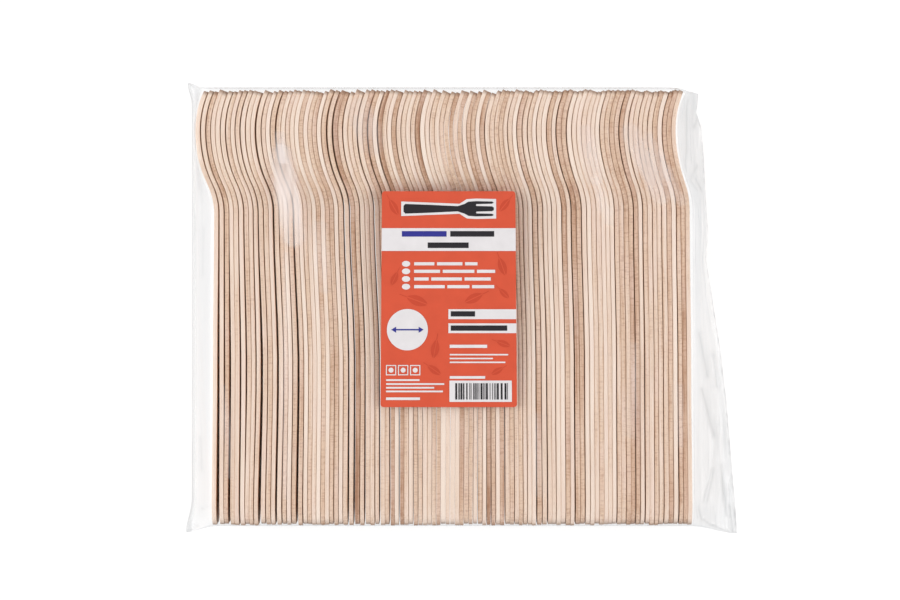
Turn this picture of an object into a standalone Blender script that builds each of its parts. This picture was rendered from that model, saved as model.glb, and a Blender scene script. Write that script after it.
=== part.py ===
"""Pack of wooden forks, lying flat: forks nested on edge, a clear film bag round them and a paper label.

X runs across the pack, from fork to fork. Y runs along the forks, from handle end to tines. Z is up.
The origin is on the face that the pack lies on, under the middle of the stack. Lengths are in metres.
"""

import math
import random

import bmesh
import bpy
from mathutils import Matrix, Vector

# Fork: a flat veneer blank, hot pressed into a shallow bowl
FORK_LENGTH = 0.165
FORK_THICKNESS = 0.0016
HANDLE_WIDTH = 0.0205
HANDLE_END_FLAT = 0.009
HANDLE_END_ROUNDING = 0.009
NECK_WIDTH = 0.0125
HEAD_WIDTH = 0.032
TINE_SPREAD = 0.028
SLOT_LENGTH = 0.0255
SLOT_ROOT_WIDTH = 0.0032
SLOT_MOUTH_WIDTH = 0.0044

# Press curve, seen on the fork's edge: out at the neck, level in the bowl, back at the tines
NECK_BEND_RUN = 0.011
BOWL_RUN = 0.020
TINE_RUN = 0.015
NECK_ANGLE = math.radians(22.5)
TINE_ANGLE = math.radians(24)

# Stack: forks face to face, their handles a little splayed
FORK_COUNT = 100
NEST_GAP = 0.00006
GROOVE_DEPTH = 0.0008
HANDLE_SPLAY = 0.0006
TIGHTEST_SHARE = 0.08
HANDLE_LENGTH_SPREAD = 0.0008
TINE_LENGTH_SPREAD = 0.0004
SEED = 165

# Bag: a sleeve of film round the stack, sealed at -X, with a loose flap and its mouth at +X
FILM = 0.0003
CLEARANCE = 0.0003
SEAM_HEIGHT = 0.0115
SEAM_WIDTH = 0.0010
LEFT_SLACK = 0.0002
FLAP_AT_TINES = 0.0022
FLAP_AT_HANDLES = 0.0166
FLAP_MIDDLE_RISE = 0.35
LEFT_CORNER_REACH = 0.0008
RIGHT_CORNER_REACH = 0.0012

# Label: a paper rectangle stuck on the bag's upper side
LABEL_WIDTH = 0.0518
LABEL_LENGTH = 0.0817
LABEL_CORNER = 0.0012
LABEL_THICKNESS = 0.0002
LABEL_X = -0.0013
LABEL_FROM_HANDLE_END = 0.0855

# Colours
PALE_BIRCH = (0.80, 0.66, 0.50)
DARK_BIRCH = (0.56, 0.40, 0.28)
CLEAR_FILM = (0.90, 0.91, 0.92)
FILM_ALPHA = 0.25
LABEL_ORANGE = (0.71, 0.11, 0.06)

# Worked out from the sizes above
BEND_START = FORK_LENGTH - NECK_BEND_RUN - BOWL_RUN - TINE_RUN
NECK_RADIUS = NECK_BEND_RUN / math.sin(NECK_ANGLE)
BOWL_RADIUS = BOWL_RUN / math.sin(NECK_ANGLE)
TINE_RADIUS = TINE_RUN / math.sin(TINE_ANGLE)
BOWL_BOTTOM = BEND_START + NECK_BEND_RUN + BOWL_RUN
BOWL_DEPTH = (NECK_RADIUS + BOWL_RADIUS) * (1 - math.cos(NECK_ANGLE))
SLOT_ROOT = FORK_LENGTH - SLOT_LENGTH
TINE_WIDTH = (HEAD_WIDTH - 2 * SLOT_ROOT_WIDTH) / 3
SLOT_CENTRE = (TINE_WIDTH + SLOT_ROOT_WIDTH) / 2
FORK_PITCH = FORK_THICKNESS / math.cos(max(NECK_ANGLE, TINE_ANGLE)) + NEST_GAP
HALF_STACK = (FORK_COUNT - 1) * FORK_PITCH / 2 + FORK_THICKNESS / 2

# The pack tips about X until the heads and the handles both lie on the floor
REST_TILT = math.atan2((HEAD_WIDTH - HANDLE_WIDTH) / 2, SLOT_ROOT - HANDLE_END_ROUNDING)

# Stations along a fork, from the handle's end
HANDLE_STATIONS = (0.0, 0.22 * HANDLE_END_ROUNDING, HANDLE_END_ROUNDING)
HEAD_STATIONS = (BEND_START, (BEND_START + SLOT_ROOT) / 2, SLOT_ROOT)
TINE_STATIONS = (SLOT_ROOT + SLOT_LENGTH / 3, SLOT_ROOT + 2 * SLOT_LENGTH / 3, FORK_LENGTH)
STATIONS = HANDLE_STATIONS + HEAD_STATIONS + TINE_STATIONS


def clear_scene():
    for obj in list(bpy.data.objects):
        bpy.data.objects.remove(obj, do_unlink=True)


def finish(name, colour, roughness, alpha=1.0):
    material = bpy.data.materials.new(name)
    material.use_nodes = True
    shader = material.node_tree.nodes["Principled BSDF"]
    shader.inputs["Base Color"].default_value = (*colour, 1.0)
    shader.inputs["Roughness"].default_value = roughness
    shader.inputs["Metallic"].default_value = 0.0
    shader.inputs["Alpha"].default_value = alpha
    return material


def object_from(shape, name, material):
    """Turns a bmesh into a named object with its faces pointing out."""
    bmesh.ops.recalc_face_normals(shape, faces=shape.faces)
    mesh = bpy.data.meshes.new(name)
    shape.to_mesh(mesh)
    shape.free()
    mesh.materials.append(material)
    obj = bpy.data.objects.new(name, mesh)
    bpy.context.scene.collection.objects.link(obj)
    return obj


def press_curve(along):
    """How far the fork's middle surface dips at this distance along it, and its slope angle."""
    if along <= BEND_START:
        return 0.0, 0.0
    if along <= BEND_START + NECK_BEND_RUN:
        angle = math.asin((along - BEND_START) / NECK_RADIUS)
        return NECK_RADIUS * (1 - math.cos(angle)), angle
    if along <= BOWL_BOTTOM:
        angle = math.asin((BOWL_BOTTOM - along) / BOWL_RADIUS)
        return BOWL_DEPTH - BOWL_RADIUS * (1 - math.cos(angle)), angle
    angle = math.asin(min(1.0, (along - BOWL_BOTTOM) / TINE_RADIUS))
    return BOWL_DEPTH - TINE_RADIUS * (1 - math.cos(angle)), -angle


def half_width(along):
    """Half the fork's width in plan at this distance from its handle's end."""
    if along < HANDLE_END_ROUNDING:
        from_full = 1 - max(0.0, along) / HANDLE_END_ROUNDING
        bulge = math.sqrt(1 - from_full**2)
        return (HANDLE_END_FLAT + (HANDLE_WIDTH - HANDLE_END_FLAT) * bulge) / 2
    if along < BEND_START:
        share = (along - HANDLE_END_ROUNDING) / (BEND_START - HANDLE_END_ROUNDING)
        return (HANDLE_WIDTH + (NECK_WIDTH - HANDLE_WIDTH) * share) / 2
    if along < SLOT_ROOT:
        share = (along - BEND_START) / (SLOT_ROOT - BEND_START)
        flare = share * share * (3 - 2 * share)
        return (NECK_WIDTH + (HEAD_WIDTH - NECK_WIDTH) * flare) / 2
    share = min(1.0, (along - SLOT_ROOT) / SLOT_LENGTH)
    return (HEAD_WIDTH + (TINE_SPREAD - HEAD_WIDTH) * share**2) / 2


def slot_half_width(along):
    share = min(1.0, (along - SLOT_ROOT) / SLOT_LENGTH)
    return (SLOT_ROOT_WIDTH + (SLOT_MOUTH_WIDTH - SLOT_ROOT_WIDTH) * share) / 2


def stretched(station, handle_shift, tine_shift):
    """Where a station lies on a fork whose handle end and tine tips are shifted along it by these amounts."""
    handle_share = max(0.0, 1 - station / HANDLE_END_ROUNDING)
    tine_share = max(0.0, station - SLOT_ROOT) / SLOT_LENGTH
    return station + handle_shift * handle_share + tine_shift * tine_share


def bridge(shape, first, second):
    """Joins two rings of the same number of points with a band of faces."""
    for i in range(len(first)):
        j = (i + 1) % len(first)
        shape.faces.new((first[i], first[j], second[j], second[i]))


def face_points(centre, along, side):
    """The X and Y of a fork's left (-1) or right (+1) broad face, for a fork centred on X = centre."""
    dip, angle = press_curve(along)
    reach = side * FORK_THICKNESS / 2
    return centre - dip + reach * math.cos(angle), along + reach * math.sin(angle) - FORK_LENGTH / 2


def handle_ring(shape, centre, along, station):
    """Four corners of one fork's section. station gives the width where along is stretched or cut short."""
    half = half_width(station)
    corners = ((-1, -half), (1, -half), (1, half), (-1, half))
    return [shape.verts.new((*face_points(centre, along, side), z)) for side, z in corners]


class HeadSection:
    """One section through a node's forks in the head: each fork's faces, with a groove between neighbours.

    low and high run from the leftmost face to the rightmost along the lower and upper edge.
    """

    def __init__(self, shape, centres, along, station):
        self.shape = shape
        self.half = half_width(station)
        self.left = face_points(centres[0], along, -1)
        self.right = face_points(centres[-1], along, 1)
        self.low = self.edge(centres, along, -1)
        self.high = self.edge(centres, along, 1)

    def edge(self, centres, along, way):
        """The zigzag of one edge: two corners for each fork, and the groove's bottom between forks."""
        dip = press_curve(along)[0]
        points = []
        for index, centre in enumerate(centres):
            if index:
                middle = (centres[index - 1] + centre) / 2 - dip
                depth = self.half - GROOVE_DEPTH
                points.append(self.shape.verts.new((middle, along - FORK_LENGTH / 2, way * depth)))
            for side in (-1, 1):
                points.append(self.shape.verts.new((*face_points(centre, along, side), way * self.half)))
        return points

    def corners(self, z):
        """The leftmost and rightmost points at this height, for a slot's wall."""
        return [self.shape.verts.new((*point, z)) for point in (self.left, self.right)]

    def outer_ring(self):
        return self.low + self.high[::-1]

    def add_slots(self, slot):
        """Splits the section into three tines and keeps the points of the two slots."""
        inner, outer = SLOT_CENTRE - slot, SLOT_CENTRE + slot
        self.walls = [self.corners(z) for z in (-outer, -inner, inner, outer)]

    def tine_rings(self):
        below, middle_low, middle_high, above = self.walls
        return (
            self.low + below[::-1],
            middle_low + middle_high[::-1],
            above + self.high[::-1],
        )


def slot_roots(shape, section):
    """The two small faces where the slots end, at the section where they begin."""
    for first, second in ((0, 1), (2, 3)):
        left_a, right_a = section.walls[first]
        left_b, right_b = section.walls[second]
        shape.faces.new((left_a, right_a, right_b, left_b))


def head_to_slots(shape, before, root):
    """Joins the last whole section to the one with slots. The slots' points lie in its two broad faces."""
    for edge_before, edge_root in ((before.low, root.low), (before.high, root.high)):
        for i in range(len(edge_before) - 1):
            shape.faces.new((edge_before[i], edge_before[i + 1], edge_root[i + 1], edge_root[i]))
    for end, side in ((0, 0), (-1, 1)):
        on_face = [wall[side] for wall in root.walls]
        shape.faces.new((before.low[end], root.low[end], *on_face, root.high[end], before.high[end]))


def neck_crotch(shape, section):
    """The faces between neighbouring forks where their separate handles meet the shared head."""
    for i in range(1, len(section.low) - 1, 3):
        low, high = section.low[i : i + 3], section.high[i : i + 3]
        shape.faces.new((*low, *high[::-1]))


def forks_solid(centres, end_centres, end_shifts, tine_shift):
    """Neighbouring forks as one closed body: handles apart, heads pressed together, slots right through."""
    shape = bmesh.new()
    neck, *head_stations = HEAD_STATIONS
    sections = [HeadSection(shape, centres, neck, neck)]
    for index, (centre, end_centre, shift) in enumerate(zip(centres, end_centres, end_shifts)):
        rings = []
        for station in HANDLE_STATIONS:
            lean = (end_centre - centre) * (1 - station / neck)
            rings.append(handle_ring(shape, centre + lean, stretched(station, shift, 0.0), station))
        low, high = sections[0].low[3 * index :][:2], sections[0].high[3 * index :][:2]
        rings.append([low[0], low[1], high[1], high[0]])
        shape.faces.new(rings[0])
        for first, second in zip(rings, rings[1:]):
            bridge(shape, first, second)
    neck_crotch(shape, sections[0])

    for station in head_stations:
        sections.append(HeadSection(shape, centres, station, station))
    for first, second in zip(sections, sections[1:-1]):
        bridge(shape, first.outer_ring(), second.outer_ring())
    root = sections[-1]
    root.add_slots(slot_half_width(SLOT_ROOT))
    head_to_slots(shape, sections[-2], root)
    slot_roots(shape, root)

    before = root
    for station in TINE_STATIONS:
        section = HeadSection(shape, centres, stretched(station, 0.0, tine_shift), station)
        section.add_slots(slot_half_width(station))
        for first, second in zip(before.tine_rings(), section.tine_rings()):
            bridge(shape, first, second)
        before = section
    for ring in before.tine_rings():
        shape.faces.new(ring)
    return shape


def handle_end_centres(chance):
    """Where the handles' ends lie across the pack: uneven gaps that add up to the stack's splayed width."""
    shares = [TIGHTEST_SHARE + chance.random() ** 3 for _ in range(FORK_COUNT - 1)]
    slack = (FORK_COUNT - 1) * (FORK_PITCH - FORK_THICKNESS) + 2 * HANDLE_SPLAY
    centres = [FORK_THICKNESS / 2 - HALF_STACK - HANDLE_SPLAY]
    for share in shares:
        centres.append(centres[-1] + FORK_THICKNESS + slack * share / sum(shares))
    return centres


def make_forks():
    """The stack, two neighbouring forks to a node, on an empty that carries its tilt."""
    stack = bpy.data.objects.new("fork_stack", None)
    stack.rotation_euler = (REST_TILT, 0, 0)
    stack.location = (0, 0, stack_height())
    bpy.context.scene.collection.objects.link(stack)
    chance = random.Random(SEED)
    ends = handle_end_centres(chance)
    for number, first in enumerate(range(0, FORK_COUNT, 2), start=1):
        members = range(first, min(first + 2, FORK_COUNT))
        across = [(i - (FORK_COUNT - 1) / 2) * FORK_PITCH for i in members]
        middle = sum(across) / len(across)
        shape = forks_solid(
            [x - middle for x in across],
            [ends[i] - middle for i in members],
            [HANDLE_LENGTH_SPREAD * chance.uniform(-1, 1) for _ in members],
            TINE_LENGTH_SPREAD * chance.uniform(-1, 1),
        )
        colour = Vector(PALE_BIRCH).lerp(Vector(DARK_BIRCH), chance.random())
        pair = object_from(shape, f"fork_pair_{number:02d}", finish(f"birch_{number:02d}", colour, 0.7))
        pair.parent = stack
        pair.location = (middle, 0, 0)


def spanned_half_width(station):
    """Half the width that film drawn tight round a fork takes: straight across the waist at the neck."""
    if not HANDLE_END_ROUNDING < station < SLOT_ROOT:
        return half_width(station)
    share = (station - HANDLE_END_ROUNDING) / (SLOT_ROOT - HANDLE_END_ROUNDING)
    return (HANDLE_WIDTH + (HEAD_WIDTH - HANDLE_WIDTH) * share) / 2


def stack_height():
    """Height of the stack's middle, with its lower edges just above the film on the floor."""
    lowest = (SLOT_ROOT - FORK_LENGTH / 2) * math.sin(REST_TILT) - HEAD_WIDTH / 2 * math.cos(REST_TILT)
    return FILM + CLEARANCE - lowest


def tilted(along, height):
    """Y and Z in the pack of a point given along the stack and above its middle."""
    point = Matrix.Rotation(REST_TILT, 2) @ Vector((along - FORK_LENGTH / 2, height))
    return point + Vector((0, stack_height()))


def stack_loop():
    """The outline round the stack, seen from the side: along its lower edge, then back along its upper edge."""
    tip_reach = TINE_LENGTH_SPREAD + FORK_THICKNESS / 2 * math.sin(TINE_ANGLE)
    outline = [(stretched(s, -HANDLE_LENGTH_SPREAD, tip_reach), spanned_half_width(s)) for s in STATIONS]
    lower = [tilted(along, -half) for along, half in outline]
    upper = [tilted(along, half) for along, half in outline]
    return lower + upper[::-1]


def grown(loop, distance):
    """The loop with each side moved outwards by this distance."""
    moved = []
    for before, point, after in zip(loop[-1:] + loop[:-1], loop, loop[1:] + loop[:1]):
        first, second = (point - before).normalized(), (after - point).normalized()
        normals = Vector((first.y, -first.x)), Vector((second.y, -second.x))
        shift = (normals[0] + normals[1]) / (1 + normals[0].dot(normals[1]))
        moved.append(point + shift * distance)
    return moved


def side_ring(loop, side, outward):
    """The loop where it turns down the outermost fork's face, at -X or +X, and follows its curve."""
    ring = []
    for point, station in zip(loop, STATIONS + STATIONS[::-1]):
        splay = HANDLE_SPLAY * max(0.0, 1 - station / BEND_START)
        reach = HALF_STACK + splay + CLEARANCE + outward
        ring.append(Vector((side * reach - press_curve(station)[0], *point)))
    return ring


def flat_ring(loop, outward, corner_reach, x_at):
    """The loop pressed flat at a seam or mouth, with its corners drawn out. x_at gives X from Y."""
    ring = []
    half_height = CLEARANCE / 2 + outward
    for index, point in enumerate(loop):
        y = (point.x + loop[-1 - index].x) / 2 * (1 + corner_reach / (FORK_LENGTH / 2))
        way = -1 if index < len(loop) // 2 else 1
        ring.append(Vector((x_at(y), y, SEAM_HEIGHT + way * half_height)))
    return ring


def mouth_x(y):
    """The flap's slanting edge, which stands out further beside the handles than beside the tines."""
    share = 0.5 - y / FORK_LENGTH
    return HALF_STACK + FLAP_AT_TINES + (FLAP_AT_HANDLES - FLAP_AT_TINES) * share


def flap_ring(side, mouth):
    """Half way out on the flap, where slack film is nearer the mouth's height than a straight line is."""
    ring = []
    for start, end in zip(side, mouth):
        point = start.lerp(end, 0.5)
        point.z = end.z + (start.z - end.z) * FLAP_MIDDLE_RISE
        ring.append(point)
    return ring


def film_surface(outward):
    """Rings of the film's face that lies this far outside its inner face, from the seam at -X to the mouth."""
    loop = grown(stack_loop(), CLEARANCE + outward)
    seam_x = -(HALF_STACK + BOWL_DEPTH + CLEARANCE + LEFT_SLACK + outward)
    seam = flat_ring(loop, outward, LEFT_CORNER_REACH, lambda y: seam_x)
    right = side_ring(loop, 1, outward)
    mouth = flat_ring(loop, outward, RIGHT_CORNER_REACH, mouth_x)
    return [seam, side_ring(loop, -1, outward), right, flap_ring(right, mouth), mouth]


def skin(shape, rings):
    """A band of faces from ring to ring, closed at the first one. Returns the points of the last."""
    laid = [[shape.verts.new(point) for point in ring] for ring in rings]
    shape.faces.new(laid[0])
    for first, second in zip(laid, laid[1:]):
        bridge(shape, first, second)
    return laid[-1]


def make_bag():
    """Outer and inner face of the film, joined round the mouth. The weld at -X is solid."""
    outer = film_surface(FILM)
    edge = [point - Vector((SEAM_WIDTH, 0, 0)) for point in outer[0]]
    shape = bmesh.new()
    outer_mouth = skin(shape, [edge, *outer])
    inner_mouth = skin(shape, film_surface(0.0))
    bridge(shape, outer_mouth, inner_mouth)
    return object_from(shape, "bag_film", finish("clear_film", CLEAR_FILM, 0.15, FILM_ALPHA))


def rounded_rectangle(width, length, corner):
    """Points of a rectangle centred on the origin, with three on each corner's arc."""
    points = []
    for turn, (x, y) in enumerate(((1, 1), (-1, 1), (-1, -1), (1, -1))):
        centre = Vector((x * (width / 2 - corner), y * (length / 2 - corner)))
        for step in range(3):
            angle = math.radians(90 * turn + 45 * step)
            points.append(centre + corner * Vector((math.cos(angle), math.sin(angle))))
    return points


def make_label():
    """The label, lying on the film over the stack's sloping upper side."""
    shape = bmesh.new()
    outline = rounded_rectangle(LABEL_WIDTH, LABEL_LENGTH, LABEL_CORNER)
    rings = [[shape.verts.new((*p, z)) for p in outline] for z in (-LABEL_THICKNESS / 2, LABEL_THICKNESS / 2)]
    shape.faces.new(rings[0])
    shape.faces.new(rings[1])
    bridge(shape, *rings)
    label = object_from(shape, "label", finish("orange_paper", LABEL_ORANGE, 0.5))
    under = tilted(LABEL_FROM_HANDLE_END, spanned_half_width(LABEL_FROM_HANDLE_END))
    slope = 2 * REST_TILT
    rise = 2 * CLEARANCE + FILM + LABEL_THICKNESS / 2
    label.location = (LABEL_X, under.x - rise * math.sin(slope), under.y + rise * math.cos(slope))
    label.rotation_euler = (slope, 0, 0)


clear_scene()
make_forks()
make_bag()
make_label()
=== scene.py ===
"""Looks of the pack of wooden forks: each fork in pressed birch, the clear film bag and the printed label.

The axes are the frame's: X across the pack, Y along the forks towards the tines, Z up.
Lengths are in metres.
"""

import math
import random

import bmesh
import bpy
import numpy as np
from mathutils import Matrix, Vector, noise
from mathutils.bvhtree import BVHTree


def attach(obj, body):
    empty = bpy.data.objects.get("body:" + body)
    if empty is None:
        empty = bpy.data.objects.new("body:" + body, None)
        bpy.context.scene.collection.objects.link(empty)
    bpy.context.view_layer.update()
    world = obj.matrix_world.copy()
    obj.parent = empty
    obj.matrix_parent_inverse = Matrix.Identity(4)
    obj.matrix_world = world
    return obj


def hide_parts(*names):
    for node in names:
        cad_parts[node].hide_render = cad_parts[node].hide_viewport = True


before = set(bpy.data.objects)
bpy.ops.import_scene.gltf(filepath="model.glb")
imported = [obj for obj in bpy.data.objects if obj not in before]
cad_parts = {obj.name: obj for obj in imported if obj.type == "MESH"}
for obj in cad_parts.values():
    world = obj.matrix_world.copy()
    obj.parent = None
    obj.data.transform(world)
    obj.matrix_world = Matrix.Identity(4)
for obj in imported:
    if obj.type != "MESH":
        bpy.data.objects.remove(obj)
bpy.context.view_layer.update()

# Fork blank and press curve, as in the CAD
FORK_LENGTH = 0.165
FORK_THICKNESS = 0.0016
HANDLE_WIDTH = 0.0205
HANDLE_END_FLAT = 0.009
HANDLE_END_ROUNDING = 0.009
NECK_WIDTH = 0.0125
HEAD_WIDTH = 0.032
TINE_SPREAD = 0.028
SLOT_LENGTH = 0.0255
SLOT_ROOT_WIDTH = 0.0032
SLOT_MOUTH_WIDTH = 0.0044
NECK_BEND_RUN = 0.011
BOWL_RUN = 0.020
TINE_RUN = 0.015
NECK_ANGLE = math.radians(22.5)
TINE_ANGLE = math.radians(24)

# The fork's mesh in this script: finer edges, darker end grain with painted shade at the rounded ends, and
# cuts
TINE_TIP_ROUNDING = 0.0024
EDGE_EASING = 0.00013
END_GRAIN_AND_SHADE_DEPTH = 0.0018
STEEPEST_TINE_SINE = 0.6
HANDLE_CUTS = 9
HEAD_CUTS = 26

# Stack, as in the CAD
FORK_COUNT = 100
NEST_GAP = 0.00006
TIGHTEST_SHARE = 0.08
HANDLE_LENGTH_SPREAD = 0.0008
TINE_LENGTH_SPREAD = 0.0004
STACK_SEED = 165

# Real veneer: uneven thicknesses and tips, and more splay than in the CAD
HANDLE_SPLAY = 0.0010
THINNEST_FORK = 0.00142
THICKEST_FORK = 0.00170
HIGHEST_TIP = 0.0001
TIP_SPREAD = 0.0010
STRAIGHTNESS = 0.5
UPRIGHT_FORKS = 9
DARK_FORKS = (FORK_COUNT - 2,)
LOOKS_SEED = 38

# The first nine gaps from the left, at the necks, half way down the handles and at their ends
FIRST_NECK_GAPS = (0.00032, 0.00030, 0.00012, 0.00003, 0.00018, 0.00030, 0.00004, 0.00022, 0.00032)
FIRST_MIDDLE_GAPS = (0.00100, 0.00090, 0.00095, 0.00004, 0.00090, 0.00095, 0.00015, 0.00060, 0.00110)
FIRST_END_GAPS = (0.00130, 0.00015, 0.00095, 0.00004, 0.00060, 0.00020, 0.00008, 0.00030, 0.00120)

# Bag and label, as in the CAD
FILM = 0.0003
CLEARANCE = 0.0003
SEAM_HEIGHT = 0.0115
LABEL_WIDTH = 0.0518
LABEL_LENGTH = 0.0817
LABEL_CORNER = 0.0012
LABEL_X = -0.0013
LABEL_FROM_HANDLE_END = 0.0855

# Worked out from the sizes above
BEND_START = FORK_LENGTH - NECK_BEND_RUN - BOWL_RUN - TINE_RUN
NECK_RADIUS = NECK_BEND_RUN / math.sin(NECK_ANGLE)
BOWL_RADIUS = BOWL_RUN / math.sin(NECK_ANGLE)
TINE_RADIUS = TINE_RUN / math.sin(TINE_ANGLE)
BOWL_BOTTOM = BEND_START + NECK_BEND_RUN + BOWL_RUN
BOWL_DEPTH = (NECK_RADIUS + BOWL_RADIUS) * (1 - math.cos(NECK_ANGLE))
SLOT_ROOT = FORK_LENGTH - SLOT_LENGTH
TINE_WIDTH = (HEAD_WIDTH - 2 * SLOT_ROOT_WIDTH) / 3
SLOT_CENTRE = (TINE_WIDTH + SLOT_ROOT_WIDTH) / 2
FORK_PITCH = FORK_THICKNESS / math.cos(max(NECK_ANGLE, TINE_ANGLE)) + NEST_GAP
HALF_STACK = (FORK_COUNT - 1) * FORK_PITCH / 2 + FORK_THICKNESS / 2
REST_TILT = math.atan2((HEAD_WIDTH - HANDLE_WIDTH) / 2, SLOT_ROOT - HANDLE_END_ROUNDING)
STACK_HEIGHT = FILM + CLEARANCE + (
    HEAD_WIDTH / 2 * math.cos(REST_TILT) - (SLOT_ROOT - FORK_LENGTH / 2) * math.sin(REST_TILT)
)


def linear(red, green, blue):
    """A colour given as it looks on screen, 0 to 255, in the linear values that shaders take."""
    values = [c / 255 for c in (red, green, blue)]
    return (*[v / 12.92 if v <= 0.04045 else ((v + 0.055) / 1.055) ** 2.4 for v in values], 1.0)


def smooth(share):
    """0 up to a share of 0, 1 from a share of 1, and an even curve between them."""
    share = np.clip(share, 0.0, 1.0)
    return share * share * (3 - 2 * share)


def linked(name, data):
    """A new object in the scene that shows this mesh, lamp or camera."""
    thing = bpy.data.objects.new(name, data)
    bpy.context.scene.collection.objects.link(thing)
    return thing


def add_values(mesh, name, values):
    """One number for each point of the mesh, which its material reads by this name."""
    layer = mesh.attributes.new(name, "FLOAT", "POINT")
    layer.data.foreach_set("value", values)


def cut_across(shape, place, axis, nearest):
    """New edges where a plane meets the shape. Points no further off than nearest count as on the plane."""
    everything = [*shape.verts, *shape.edges, *shape.faces]
    bmesh.ops.bisect_plane(shape, geom=everything, plane_co=place, plane_no=axis, dist=nearest)


def triangulate_large_faces(shape):
    bmesh.ops.triangulate(shape, faces=[f for f in shape.faces if len(f.verts) > 4])


# Inks as they look on screen
LABEL_ORANGE = linear(214, 84, 55)
LEAF_ORANGE = linear(200, 71, 44)
LABEL_WHITE = linear(227, 223, 224)
LABEL_BLACK = linear(34, 31, 36)
LABEL_BLUE = linear(46, 48, 140)


# Forks


def press_curve(along):
    """Dip of the fork's middle surface and its slope angle, for an array of distances along it."""
    neck = np.arcsin(np.clip((along - BEND_START) / NECK_RADIUS, 0, math.sin(NECK_ANGLE)))
    bowl = np.arcsin(np.clip((BOWL_BOTTOM - along) / BOWL_RADIUS, 0, math.sin(NECK_ANGLE)))
    tine = np.arcsin(np.clip((along - BOWL_BOTTOM) / TINE_RADIUS, 0, STEEPEST_TINE_SINE))
    in_neck = along <= BEND_START + NECK_BEND_RUN
    in_bowl = along <= BOWL_BOTTOM
    bowl_dip = BOWL_DEPTH - BOWL_RADIUS * (1 - np.cos(bowl))
    tine_dip = BOWL_DEPTH - TINE_RADIUS * (1 - np.cos(tine))
    dip = np.where(in_neck, NECK_RADIUS * (1 - np.cos(neck)), np.where(in_bowl, bowl_dip, tine_dip))
    angle = np.where(in_neck, neck, np.where(in_bowl, bowl, -tine))
    return dip, angle


def half_width(along):
    """Half the blank's width at this distance from its handle's end."""
    if along < HANDLE_END_ROUNDING:
        bulge = math.sqrt(1 - (1 - max(0.0, along) / HANDLE_END_ROUNDING) ** 2)
        return (HANDLE_END_FLAT + (HANDLE_WIDTH - HANDLE_END_FLAT) * bulge) / 2
    if along < BEND_START:
        share = (along - HANDLE_END_ROUNDING) / (BEND_START - HANDLE_END_ROUNDING)
        return (HANDLE_WIDTH + (NECK_WIDTH - HANDLE_WIDTH) * share) / 2
    if along < SLOT_ROOT:
        flare = smooth((along - BEND_START) / (SLOT_ROOT - BEND_START))
        return (NECK_WIDTH + (HEAD_WIDTH - NECK_WIDTH) * flare) / 2
    share = min(1.0, (along - SLOT_ROOT) / SLOT_LENGTH)
    return (HEAD_WIDTH + (TINE_SPREAD - HEAD_WIDTH) * share**2) / 2


def spanned_half_width(along):
    """The half width that film drawn tight round a fork takes: straight across the waist."""
    if not HANDLE_END_ROUNDING < along < SLOT_ROOT:
        return half_width(along)
    share = (along - HANDLE_END_ROUNDING) / (SLOT_ROOT - HANDLE_END_ROUNDING)
    return (HANDLE_WIDTH + (HEAD_WIDTH - HANDLE_WIDTH) * share) / 2


def arc(centre, radius, start, end, steps):
    """Points on an arc in the blank's plane, angles in degrees from the fork's axis."""
    angles = [math.radians(start + (end - start) * i / steps) for i in range(steps + 1)]
    return [(centre[0] + radius * math.cos(a), centre[1] + radius * math.sin(a)) for a in angles]


def blank_outline():
    """The blank's outline as (along, across) points: the half above the axis, and its mirror image."""
    round_end = [HANDLE_END_ROUNDING * (1 - math.cos(math.radians(a))) for a in range(0, 90, 15)]
    taper = [HANDLE_END_ROUNDING, BEND_START - 0.004]
    flare = list(np.linspace(BEND_START, SLOT_ROOT, 9))
    tine = list(np.linspace(SLOT_ROOT, FORK_LENGTH - TINE_TIP_ROUNDING, 6))[1:]
    half = [(s, half_width(s)) for s in round_end + taper + flare + tine]
    tip = FORK_LENGTH - TINE_TIP_ROUNDING
    outer_edge, inner_edge = TINE_SPREAD / 2, SLOT_CENTRE + SLOT_MOUTH_WIDTH / 2
    half += arc((tip, outer_edge - TINE_TIP_ROUNDING), TINE_TIP_ROUNDING, 90, 0, 5)[1:]
    half += arc((tip, inner_edge + TINE_TIP_ROUNDING), TINE_TIP_ROUNDING, 0, -90, 5)
    root = SLOT_ROOT_WIDTH / 2
    half += arc((SLOT_ROOT + root, SLOT_CENTRE), root, 90, 270, 6)
    middle_edge = SLOT_CENTRE - SLOT_MOUTH_WIDTH / 2
    half += arc((tip, middle_edge - TINE_TIP_ROUNDING), TINE_TIP_ROUNDING, 90, 0, 5)
    return half + [(s, -z) for s, z in reversed(half)]


def blank_mesh():
    """A flat blank with eased edges, cut across at many stations so that it can be bent. X runs along it."""
    shape = bmesh.new()
    points = [shape.verts.new((s, -FORK_THICKNESS / 2, z)) for s, z in blank_outline()]
    lower = shape.faces.new(points)
    raised = bmesh.ops.extrude_face_region(shape, geom=[lower])["geom"]
    upper = [e for e in raised if isinstance(e, bmesh.types.BMVert)]
    bmesh.ops.translate(shape, verts=upper, vec=(0, FORK_THICKNESS, 0))
    rims = [e for e in shape.edges if abs(e.verts[0].co.y - e.verts[1].co.y) < 1e-9]
    bmesh.ops.bevel(shape, geom=rims, offset=EDGE_EASING, segments=2, profile=0.5, affect="EDGES")
    stations = [*np.linspace(0.012, BEND_START - 0.003, HANDLE_CUTS)]
    stations += [*np.linspace(BEND_START + 0.0007, FORK_LENGTH - 0.002, HEAD_CUTS)]
    for station in stations:
        cut_across(shape, (station, 0, 0), (1, 0, 0), 1e-6)
    triangulate_large_faces(shape)
    bmesh.ops.recalc_face_normals(shape, faces=shape.faces)
    mesh = bpy.data.meshes.new("fork_blank")
    shape.to_mesh(mesh)
    shape.free()
    return mesh


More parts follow.
